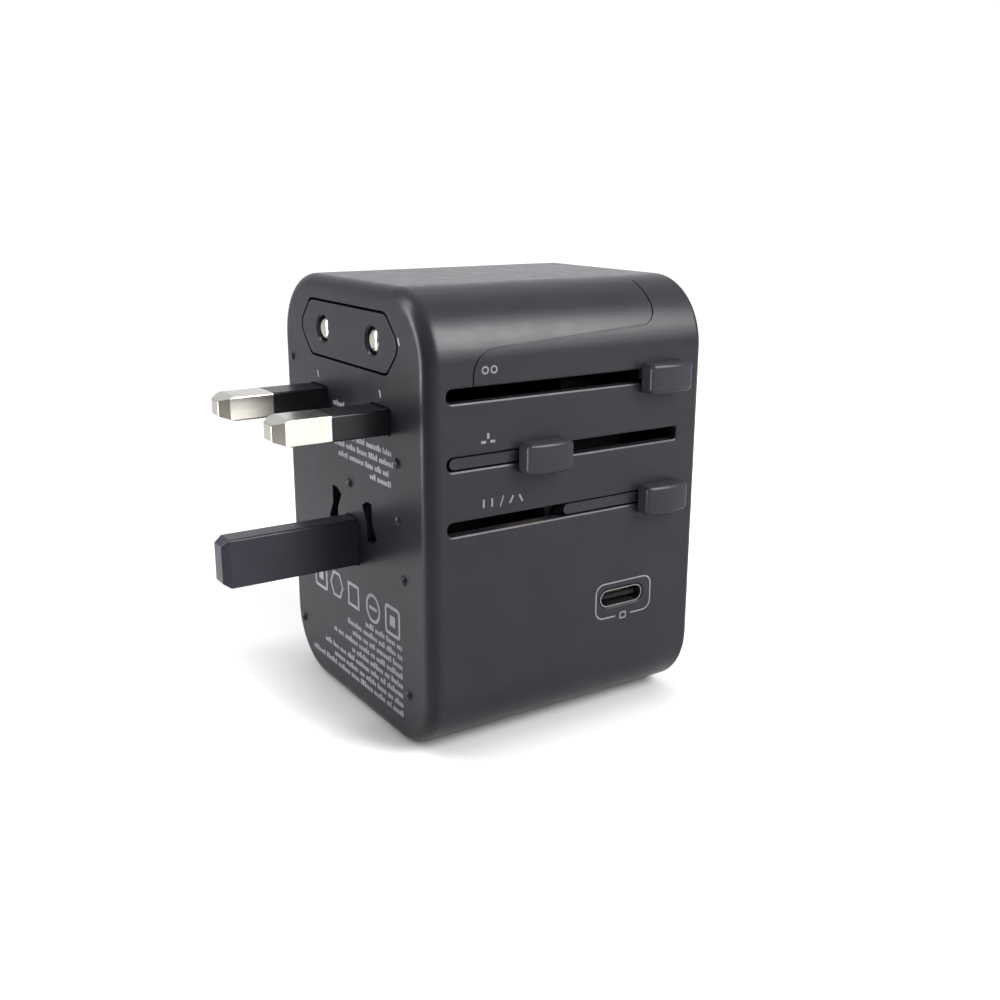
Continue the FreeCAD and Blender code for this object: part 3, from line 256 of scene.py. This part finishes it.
def floor_material():
    """Pale card, greyer where the object stands, with a painted contact shadow round its foot, and
    white further off.
    """
    shader = Shader("pale_floor")
    distance = shader.add("ShaderNodeVectorMath", operation="LENGTH")
    shader.link(shader.place, distance.inputs[0])
    tone = shader.add("ShaderNodeMath", operation="ADD")
    away = shader.grade(distance.outputs["Value"], 0, 1, FLOOR_NEAR, FLOOR_FAR)
    shader.link(away, tone.inputs[0])
    shader.link(shader.grade(shader.noise(0.4, 3), -0.02, 0.02), tone.inputs[1])
    shade = shader.blend(tone.outputs["Value"], [FLOOR_NEAR_TONE] * 3, [FLOOR_FAR_TONE] * 3)
    # Painted contact shadow: the floor tone times a factor that is darkest round the casing's
    # foot.
    painted_shadow_mix = shader.add("ShaderNodeMix", data_type="RGBA", blend_type="MULTIPLY")
    painted_shadow_mix.inputs["Factor"].default_value = 1.0
    shader.link(shade, painted_shadow_mix.inputs["A"])
    shader.link(painted_foot_shadow(shader), painted_shadow_mix.inputs["B"])
    shader.link(painted_shadow_mix.outputs["Result"], shader.surface.inputs["Base Color"])
    shader.gloss(0.6, 0.7, 0.2)
    shader.bump([(shader.noise(0.02, 2), 0.05)], 0.2 * MM)
    return shader.material


def make_materials():
    """One material for each slot of the frame, and lit and shaded copies of one ink."""
    along_x = (0.06, 1, 1)
    along_y = (1, 0.06, 1)
    return {
        "casing_plastic": plastic(
            "casing_plastic", (0.0072, 0.0072, 0.0094), (0.28, 0.35), specular=0.13),
        "knob_plastic": plastic(
            "knob_plastic", (0.0098, 0.0098, 0.0128), (0.26, 0.33), depth=0.2, specular=0.11),
        "earth_pin_plastic": plastic(
            "earth_pin_plastic", (0.0110, 0.0104, 0.0155), (0.28, 0.36), depth=0.2, specular=0.16),
        "sleeve_plastic": plastic(
            "sleeve_plastic", (0.0035, 0.0035, 0.0050), (0.28, 0.38), depth=0.12, specular=0.2),
        "inner_plastic": plastic(
            "inner_plastic", (0.0015, 0.0015, 0.0018), (0.55, 0.7), depth=0.2, specular=0.12),
        "shutter_plastic": plastic("shutter_plastic", (0.03, 0.03, 0.033), (0.4, 0.5), depth=0.15),
        "nickel_plate": metal(
            "nickel_plate", (0.40, 0.383, 0.342), (0.20, 0.25), along_x, depth=0.06),
        "contact_brass": metal("contact_brass", (0.36, 0.26, 0.12), (0.3, 0.44), along_x),
        "contact_gold": metal("contact_gold", (0.92, 0.68, 0.30), (0.14, 0.22), along_y),
        "spring_steel": metal("spring_steel", (0.52, 0.52, 0.54), (0.22, 0.34), along_x),
        "screw_steel": metal("screw_steel", (0.60, 0.60, 0.62), (0.25, 0.38)),
        "usb_steel": metal("usb_steel", (0.13, 0.13, 0.135), (0.3, 0.42), along_y),
        "board_laminate": plastic(
            "board_laminate", (0.02, 0.14, 0.05), (0.25, 0.4), 0.5 * MM, 0.2),
        "chip_black": plastic("chip_black", (0.015, 0.015, 0.016), (0.35, 0.5), 0.3 * MM, 0.3),
        "ferrite": plastic("ferrite", (0.05, 0.05, 0.052), (0.5, 0.7), 0.3 * MM, 0.5),
        "winding_tape": plastic("winding_tape", (0.66, 0.50, 0.06), (0.25, 0.4), 1.0 * MM, 0.3),
        "capacitor_can": plastic("capacitor_can", (0.03, 0.035, 0.07), (0.2, 0.35), 0.8 * MM, 0.1),
        "fuse_ceramic": plastic("fuse_ceramic", (0.72, 0.70, 0.64), (0.3, 0.45), 0.5 * MM, 0.15),
        "wire_insulation": plastic(
            "wire_insulation", (0.28, 0.02, 0.02), (0.35, 0.5), 0.4 * MM, 0.2),
        # One ink in two copies: a darker, shaded copy for the slider face, which the lamps light
        # more strongly, and a lighter, lit copy for the plug face.
        "slider_ink_shaded_copy": plastic(
            "slider_ink_shaded_copy", (0.085, 0.088, 0.095), (0.5, 0.65), 0.15 * MM, 0.4, 0.14, specular=0.3),
        "plug_ink_lit_copy": plastic(
            "plug_ink_lit_copy", (0.125, 0.13, 0.14), (0.5, 0.65), 0.15 * MM, 0.4, 0.14, specular=0.3),
    }


def dress_frame(materials):
    """Give every carried-over CAD node the material of its slot."""
    for part in frame["record"]["subparts"]:
        node = frame["nodes"][part["node"]]
        node.data.materials.clear()
        node.data.materials.append(materials[part["material_slot"]])


def add_object(name, mesh, material):
    """A linked object with this bmesh and material. The bmesh is freed."""
    data = bpy.data.meshes.new(name)
    mesh.to_mesh(data)
    mesh.free()
    data.materials.append(material)
    thing = bpy.data.objects.new(name, data)
    bpy.context.scene.collection.objects.link(thing)
    return thing


# ---------------------------------------------------------------- printed marks and a painted glint

def rounded_rect(u0, u1, v0, v1, radius, steps=5):
    """A rounded rectangle as a loop of points, in the print's own plane."""
    loop = []
    corners = ((u1 - radius, v1 - radius, 0), (u0 + radius, v1 - radius, 90),
               (u0 + radius, v0 + radius, 180), (u1 - radius, v0 + radius, 270))
    for cu, cv, start in corners:
        loop += arc_points(cu, cv, radius, start, start + 90, steps)
    return loop


def arc_points(cu, cv, radius, start, end, steps):
    """Points along an arc, from start to end in degrees."""
    angles = [math.radians(start + (end - start) * k / steps) for k in range(steps + 1)]
    return [(cu + radius * math.cos(a), cv + radius * math.sin(a)) for a in angles]


def regular(u, v, radius, sides, turn=0.0):
    """A regular polygon round a point, turned by this many radians."""
    angles = [turn + math.tau * k / sides for k in range(sides)]
    return [(u + radius * math.cos(a), v + radius * math.sin(a)) for a in angles]


def slanted(loop, u, v, degrees):
    """A loop turned about a point."""
    c = math.cos(math.radians(degrees))
    s = math.sin(math.radians(degrees))
    return [(u + (a - u) * c - (b - v) * s, v + (a - u) * s + (b - v) * c) for a, b in loop]


class InkMarks:
    """Thin raised ink on a flat face, in millimetres across (u) and up (v) that face.

    Solid marks are one loop. A band is the ink between two loops, and a strip between two paths.
    """

    def __init__(self, name, face):
        self.name = name
        self.face = face
        self.mesh = bmesh.new()

    def point(self, u, v, depth):
        if self.face == "plug":
            return Vector((PLUG_X - depth, u * MM, v * MM))
        return Vector((u * MM, SLIDER_Y - depth, v * MM))

    def ring(self, loop, depth):
        return [self.mesh.verts.new(self.point(u, v, depth)) for u, v in loop]

    def wall(self, first, second):
        """Faces between two closed loops."""
        count = len(first)
        for k in range(count):
            after = (k + 1) % count
            self.mesh.faces.new((first[k], second[k], second[after], first[after]))

    def long_edges(self, outer, inner):
        """The four long edges of a line of ink."""
        return [self.ring(outer, INK_DEPTH), self.ring(inner, INK_DEPTH),
                self.ring(inner, -INK_SINK), self.ring(outer, -INK_SINK)]

    def solid(self, loop):
        top = self.ring(loop, INK_DEPTH)
        foot = self.ring(loop, -INK_SINK)
        self.mesh.faces.new(top)
        self.mesh.faces.new(list(reversed(foot)))
        self.wall(top, foot)

    def band(self, outer, inner):
        rings = self.long_edges(outer, inner)
        for k in range(4):
            self.wall(rings[(k + 1) % 4], rings[k])

    def strip(self, outer, inner):
        """A line of ink between two open paths with the same number of points."""
        rows = self.long_edges(outer, inner)
        for k in range(4):
            first = rows[k]
            second = rows[(k + 1) % 4]
            for i in range(len(first) - 1):
                self.mesh.faces.new((first[i], second[i], second[i + 1], first[i + 1]))
        for end in (0, -1):
            self.mesh.faces.new([row[end] for row in rows])

    def finish(self, material):
        bmesh.ops.recalc_face_normals(self.mesh, faces=self.mesh.faces)
        piece = add_object(self.name, self.mesh, material)
        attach(piece, "housing")


def greeked_row(sheet, rng, start, end, v, height):
    """One line of unreadable print: words of small blocks, running from start towards end."""
    u = start
    step = 1 if end > start else -1
    while abs(end - u) > 1.0 and (end - u) * step > 0:
        for _ in range(rng.randint(3, 8)):
            width = rng.uniform(*BLOCK_WIDTHS)
            tall = height * rng.choice(BLOCK_HEIGHTS)
            if (end - u) * step < width:
                break
            low, high = sorted((u, u + step * width))
            sheet.solid(rounded_rect(low, high, v, v + tall, BLOCK_CORNER, 2))
            u += step * (width + BLOCK_GAP)
        u += step * WORD_GAP


def square(u, v, half, radius):
    """A rounded square round a point."""
    return rounded_rect(u - half, u + half, v - half, v + half, radius)


def plug_face_print_and_glint(material):
    """The unreadable small print and plain symbols on the plug face, and three short strokes, the
    last of them a painted glint by the neck's corner.
    """
    rng = random.Random(7)
    rating = InkMarks("print_rating_rows", "plug")
    row_ends = (18.0, 9.5, 13.5, 2.0, 9.0, 1.5, 4.5, -3.5)
    for index, end in enumerate(row_ends):
        v = RATING_LOWEST + RATING_PITCH * index
        greeked_row(rating, rng, RATING_START, end, v, RATING_HEIGHT)
    rating.finish(material)
    caution = InkMarks("print_caution_rows", "plug")
    rows = ((47.0, -14.5, 2.5), (45.3, -15.0, 6.0), (43.6, -13.5, 4.5), (42.0, -14.2, -6.0),
            (51.9, 1.5, 6.8))
    for v, start, end in rows:
        greeked_row(caution, rng, start, end, v, CAUTION_HEIGHT)
    caution.finish(material)
    plain_symbols(material)
    # Two printed strokes above the pins, and a pale stroke by the neck's right corner that is a
    # painted glint, not print.
    strokes = InkMarks("print_strokes_and_painted_glint", "plug")
    for u, v in ((-11.3, 56.2), (11.3, 56.2), (-17.6, 64.8)):
        bar = rounded_rect(u - STROKE_HALF_WIDTH, u + STROKE_HALF_WIDTH,
                           v - STROKE_HALF_HEIGHT, v + STROKE_HALF_HEIGHT, 0.15)
        strokes.solid(slanted(bar, u, v, -20))
    strokes.finish(material)


def plain_symbols(material):
    """Two dotted squares, a barred circle, a square and a hexagon in a row on the plug face."""
    symbols = InkMarks("print_plain_symbols", "plug")
    v = SYMBOL_V
    half = SYMBOL_HALF
    line = SYMBOL_LINE
    for u in (-13.6, 13.4):
        symbols.band(square(u, v, half, 0.8), square(u, v, half - line, 0.4))
        symbols.solid(square(u, v, 0.9, 0.3))
    symbols.band(regular(-6.8, v, half, 32), regular(-6.8, v, half - line, 32))
    symbols.solid(rounded_rect(-8.2, -5.4, v - 0.3, v + 0.3, 0.2))
    symbols.band(regular(0.4, v, 3.0, 4, math.pi / 4),
                 regular(0.4, v, 3.0 - 1.3 * line, 4, math.pi / 4))
    symbols.band(regular(7.0, v, half + 0.1, 6), regular(7.0, v, half + 0.1 - line, 6))
    symbols.finish(material)


def slider_symbols(material):
    """Pin-layout symbols beside the slots: round pins, three bars, and blades of two kinds."""
    left = PLUG_X / MM
    symbols = InkMarks("print_pin_symbols", "slider")

    def bar(u0, u1, v0, v1):
        return rounded_rect(left + u0, left + u1, v0, v1, 0.08, 2)

    for u in (9.7, 11.2):
        symbols.band(regular(left + u, 60.95, 0.62, 20), regular(left + u, 60.95, 0.36, 20))
    for u in (9.4, 11.0):
        symbols.solid(bar(u - 0.42, u + 0.42, 50.1, 50.5))
    symbols.solid(bar(10.0, 10.4, 50.75, 51.6))
    for u in (9.4, 10.9):
        symbols.solid(bar(u - 0.16, u + 0.16, 40.25, 41.55))
    symbols.solid(slanted(bar(12.55, 12.75, 40.0, 41.8), left + 12.65, 40.9, -20))
    for u, lean in ((14.4, -30), (16.1, 30)):
        symbols.solid(slanted(bar(u - 0.16, u + 0.16, 40.25, 41.55), left + u, 40.9, lean))
    symbols.finish(material)


def port_frame_path(u, inset):
    """The path of the rounded port frame, which is broken at the bottom."""
    u0 = u - PORT_HALF_WIDTH + inset
    u1 = u + PORT_HALF_WIDTH - inset
    low = PORT_LOW + inset
    high = PORT_HIGH - inset
    r = PORT_CORNER - inset
    path = [(u + PORT_HALF_GAP, low)]
    path += arc_points(u1 - r, low + r, r, -90, 0, 6)
    path += arc_points(u1 - r, high - r, r, 0, 90, 6)
    path += arc_points(u0 + r, high - r, r, 90, 180, 6)
    path += arc_points(u0 + r, low + r, r, 180, 270, 6)
    path.append((u - PORT_HALF_GAP, low))
    return path


def port_frame(material):
    """The printed frame round the charging port with a plain square where it breaks."""
    u = PLUG_X / MM + PORT_FROM_PLUG_FACE
    sheet = InkMarks("print_port_frame", "slider")
    sheet.strip(port_frame_path(u, 0.0), port_frame_path(u, PORT_LINE))
    inner_half = PORT_MARK_HALF - PORT_LINE
    sheet.band(rounded_rect(u - PORT_MARK_HALF, u + PORT_MARK_HALF,
                            PORT_MARK_LOW, PORT_MARK_HIGH, 0.3, 3),
               rounded_rect(u - inner_half, u + inner_half,
                            PORT_MARK_LOW + PORT_LINE, PORT_MARK_HIGH - PORT_LINE, 0.12, 3))
    sheet.finish(material)


# ---------------------------------------------------------------- shutter springs

def wire_ring(mesh, side, step, steps):
    """The ring of points round the spring's wire at one step along its coil."""
    turn = math.tau * SPRING_TURNS * step / steps
    rise = SPRING_HIGH - SPRING_LOW - 2 * SPRING_WIRE
    height = SPRING_LOW + SPRING_WIRE + rise * step / steps
    ring = []
    for corner in range(SPRING_WIRE_SIDES):
        angle = math.tau * corner / SPRING_WIRE_SIDES
        reach = SPRING_RADIUS + SPRING_WIRE * math.cos(angle)
        place = (SPRING_X + reach * math.cos(turn),
                 side * SPRING_Y + reach * math.sin(turn),
                 height + SPRING_WIRE * math.sin(angle))
        ring.append(mesh.verts.new([value * MM for value in place]))
    return ring


def spring_coils(material):
    """The two shutter springs, drawn at one length; the real ones shorten as the shutter slides
    down.
    """
    steps = SPRING_STEPS_PER_TURN * SPRING_TURNS
    mesh = bmesh.new()
    for side in (-1, 1):
        rings = [wire_ring(mesh, side, step, steps) for step in range(steps + 1)]
        for first, second in zip(rings, rings[1:]):
            for i in range(SPRING_WIRE_SIDES):
                j = (i + 1) % SPRING_WIRE_SIDES
                mesh.faces.new((first[i], first[j], second[j], second[i]))
        mesh.faces.new(rings[0])
        mesh.faces.new(rings[-1])
    bmesh.ops.recalc_face_normals(mesh, faces=mesh.faces)
    piece = add_object("spring_coils", mesh, material)
    for face in piece.data.polygons:
        face.use_smooth = len(face.vertices) == 4
    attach(piece, "housing")
    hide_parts("shutter_springs")
    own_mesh(piece)


# ---------------------------------------------------------------- stage, lights and camera

def make_stage():
    """A pale floor that curves up into a backdrop."""
    run = [(FLOOR_FRONT, 0.0), (FLOOR_BACK, 0.0)]
    for degrees in range(10, 91, 10):
        a = math.radians(degrees)
        run.append((FLOOR_BACK + BACKDROP_RADIUS * math.sin(a),
                    BACKDROP_RADIUS - BACKDROP_RADIUS * math.cos(a)))
    run.append((FLOOR_BACK + BACKDROP_RADIUS, BACKDROP_TOP))
    mesh = bmesh.new()
    rows = [[mesh.verts.new((x, y, z)) for x in (-FLOOR_HALF_WIDTH, FLOOR_HALF_WIDTH)]
            for y, z in run]
    for first, second in zip(rows, rows[1:]):
        mesh.faces.new((first[0], first[1], second[1], second[0]))
    floor = add_object("floor", mesh, floor_material())
    for face in floor.data.polygons:
        face.use_smooth = True
    floor.rotation_euler.z = math.radians(FLOOR_TURN)
    floor.location.z = FLOOR_DROP


def aim(thing, target):
    """Point a light or the camera at a place."""
    thing.rotation_euler = (Vector(target) - thing.location).to_track_quat("-Z", "Y").to_euler()


def soft_light(name, place, target, size, radiance, only=()):
    """A softbox of this brightness; where nodes are named, it lights only them."""
    lamp = bpy.data.lights.new(name, "AREA")
    lamp.shape = "RECTANGLE"
    lamp.size, lamp.size_y = size
    lamp.energy = radiance * math.pi * size[0] * size[1]
    light = bpy.data.objects.new(name, lamp)
    light.location = place
    light.visible_camera = False
    aim(light, target)
    bpy.context.scene.collection.objects.link(light)
    if only:
        group = bpy.data.collections.new(name + "_receivers")
        for node in only:
            group.objects.link(frame["nodes"][node])
        light.light_linking.receiver_collection = group


def at_bearing(azimuth, elevation, distance):
    """A place seen from the object; azimuth runs from the front (-Y) towards +X, in degrees."""
    a = math.radians(azimuth)
    e = math.radians(elevation)
    return (distance * math.sin(a) * math.cos(e), -distance * math.cos(a) * math.cos(e),
            LIGHT_HEIGHT + distance * math.sin(e))


def make_lights():
    """A pale sky, softboxes at front right, overhead and left, and a small light for the knobs."""
    world = bpy.data.worlds.new("studio")
    world.use_nodes = True
    sky = world.node_tree.nodes["Background"]
    sky.inputs["Color"].default_value = SKY_COLOUR
    sky.inputs["Strength"].default_value = SKY_STRENGTH
    bpy.context.scene.world = world
    middle = (0.0, 0.0, LIGHT_HEIGHT)
    soft_light("front_right", at_bearing(30, 34, 0.9), middle, (0.62, 0.82), 9.0)
    soft_light("front_core", at_bearing(31, 34, 0.88), middle, (0.42, 0.40), 24.0)
    x, y, _ = at_bearing(148, 0, 0.5)
    soft_light("overhead", (x, y, 1.4), (x, y, 0.0), (2.2, 1.8), 0.85)
    soft_light("left_strip", (-0.144, 0.067, 0.165), (-0.026, -0.026, 0.165), (0.02, 0.31), 42.0)
    soft_light("knob_side", at_bearing(-74, 2, 0.15), (0.0, -0.027, 0.045), (0.055, 0.10), 36.0,
               only=("eu_knob", "uk_knob", "us_knob"))


def make_flag():
    """A low dark card, curved round the front left out of view, seen only in reflections."""
    mesh = bmesh.new()
    feet = [at_bearing(azimuth, 0, FLAG_DISTANCE) for azimuth in range(-108, -58, 6)]
    low = [mesh.verts.new((x, y, FLAG_LOW)) for x, y, _ in feet]
    high = [mesh.verts.new((x, y, FLAG_HIGH)) for x, y, _ in feet]
    for k in range(len(feet) - 1):
        mesh.faces.new((low[k], low[k + 1], high[k + 1], high[k]))
    cloth = plastic("flag_cloth", (0.05, 0.045, 0.04), (0.8, 0.9), 2 * MM)
    flag = add_object("flag", mesh, cloth)
    flag.visible_camera = False
    flag.visible_diffuse = False
    flag.visible_shadow = False


def make_camera():
    """The camera stands at the reference angle and leans by a sixth of a degree."""
    data = bpy.data.cameras.new("camera")
    data.sensor_width = CAMERA_SENSOR
    data.lens = CAMERA_LENS
    data.clip_start = CAMERA_CLIP
    camera = bpy.data.objects.new("camera", data)
    camera.location = CAMERA_PLACE
    aim(camera, CAMERA_TARGET)
    camera.rotation_euler.rotate_axis("Z", CAMERA_LEAN)
    bpy.context.scene.collection.objects.link(camera)
    bpy.context.scene.camera = camera


def set_colour():
    view = bpy.context.scene.view_settings
    view.view_transform = "Standard"
    view.look = "None"


materials = make_materials()
dress_frame(materials)
spring_coils(materials["spring_steel"])
# The plug face takes the lit copy of the ink, and the slider face the shaded copy.
plug_face_print_and_glint(materials["plug_ink_lit_copy"])
slider_symbols(materials["slider_ink_shaded_copy"])
port_frame(materials["slider_ink_shaded_copy"])
make_stage()
make_flag()
make_lights()
make_camera()
set_colour()
